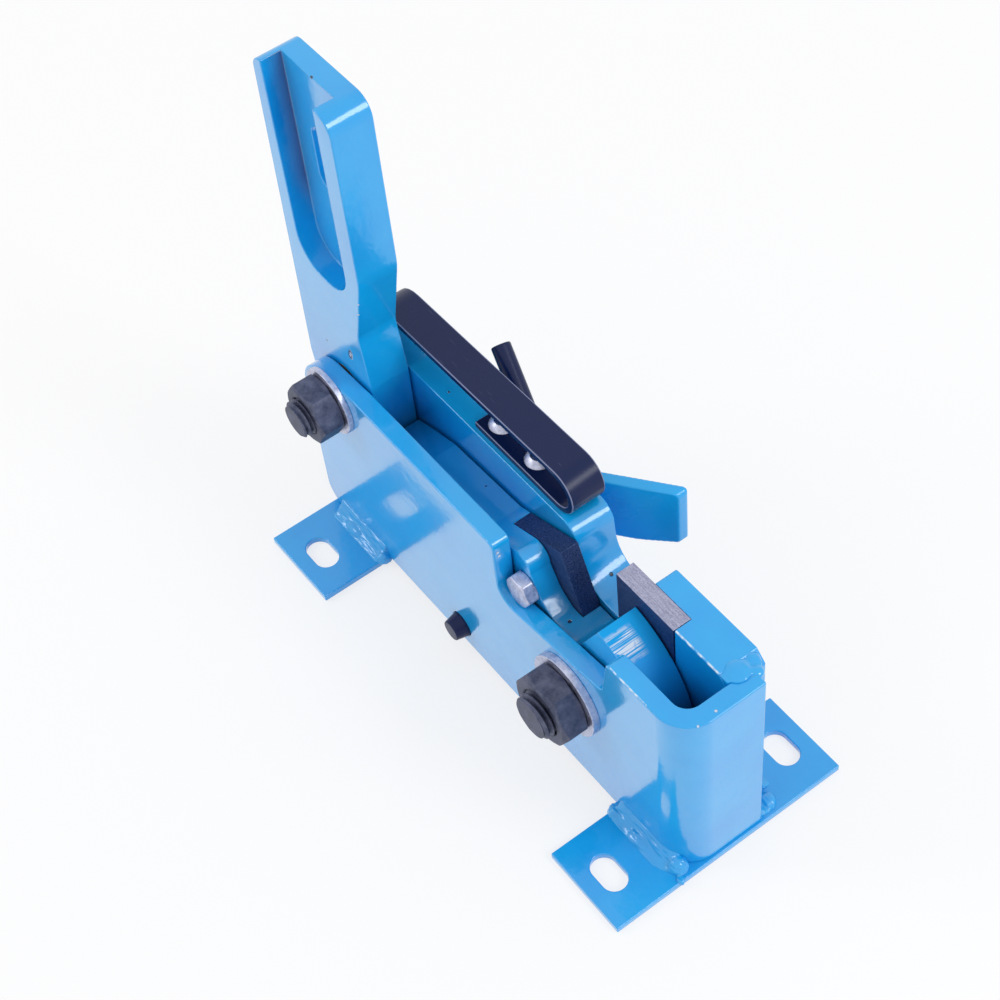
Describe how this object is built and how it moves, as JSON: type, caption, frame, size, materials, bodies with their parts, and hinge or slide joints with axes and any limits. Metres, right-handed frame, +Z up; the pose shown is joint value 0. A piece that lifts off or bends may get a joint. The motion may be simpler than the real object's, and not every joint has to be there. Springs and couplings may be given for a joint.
{
  "type": "manual rebar cutter",
  "caption": "Bench rebar cutter: a welded steel body, a lever whose toe lifts a shear arm, square shear blades, a carrying strap and a swinging bar stop.",
  "frame": {"origin": "centre of the four bench slots, at the underside of the feet", "axes": "+X forward, from the lever to the blades and the front wall; +Y across, from the near plate with the nuts to the far plate with the strap; +Z up"},
  "size_m": [0.3055, 0.136, 0.3],
  "materials": {
    "blue_paint": "glossy blue paint with a light orange peel",
    "blue_weld": "glossy blue paint over a weld bead",
    "black_paint": "satin black paint",
    "zinc_plate": "bright zinc plate",
    "dark_bolt_steel": "dark phosphated steel",
    "ground_blade_steel": "ground tool steel with stains",
    "dark_blade_steel": "dark hardened tool steel",
    "bush_bronze": "plain bearing bronze",
    "pin_steel": "dark turned steel"
  },
  "bodies": {
    "base": {"front_foot": "blue_paint", "rear_foot": "blue_paint", "near_side_plate": "blue_paint", "far_side_plate": "blue_paint", "foot_welds": "blue_weld", "corner_weld": "blue_weld", "fixed_blade": "ground_blade_steel", "fixed_blade_bolt": "zinc_plate", "fixed_blade_washer": "zinc_plate", "front_pivot_bolt": "dark_bolt_steel", "front_pivot_nut": "dark_bolt_steel", "front_pivot_washer": "zinc_plate", "rear_pivot_bolt": "dark_bolt_steel", "rear_pivot_nut": "dark_bolt_steel", "rear_pivot_washer": "zinc_plate", "carry_strap": "black_paint", "strap_screws": "zinc_plate", "stop_pin": "pin_steel", "bar_stop_bolt": "zinc_plate", "bar_stop_washer": "zinc_plate"},
    "jaw": {"shear_arm": "blue_paint", "arm_bush": "bush_bronze", "moving_blade": "dark_blade_steel", "moving_blade_bolt": "zinc_plate"},
    "hand_lever": {"lever": "blue_paint", "lever_bush": "bush_bronze"},
    "stop": {"bar_stop": "blue_paint", "bar_stop_handle": "black_paint"}
  },
  "joints": [
    {"name": "lever_swing", "type": "hinge", "parent": "base", "child": "hand_lever", "pos_m": [-0.1235, 0, 0.1065], "axis": [0, 1, 0], "range_deg": [-70, 0]},
    {"name": "jaw_swing", "type": "hinge", "parent": "base", "child": "jaw", "pos_m": [0.064, 0, 0.0655], "axis": [0, 1, 0], "range_deg": [0, 33]},
    {"name": "bar_stop_swing", "type": "hinge", "parent": "base", "child": "stop", "pos_m": [-0.02, 0, 0.105], "axis": [0, 1, 0], "range_deg": [-55, 15]}
  ],
  "couplings": [
    {"joint": "jaw_swing", "follows": "lever_swing", "ratio": -0.4714}
  ]
}
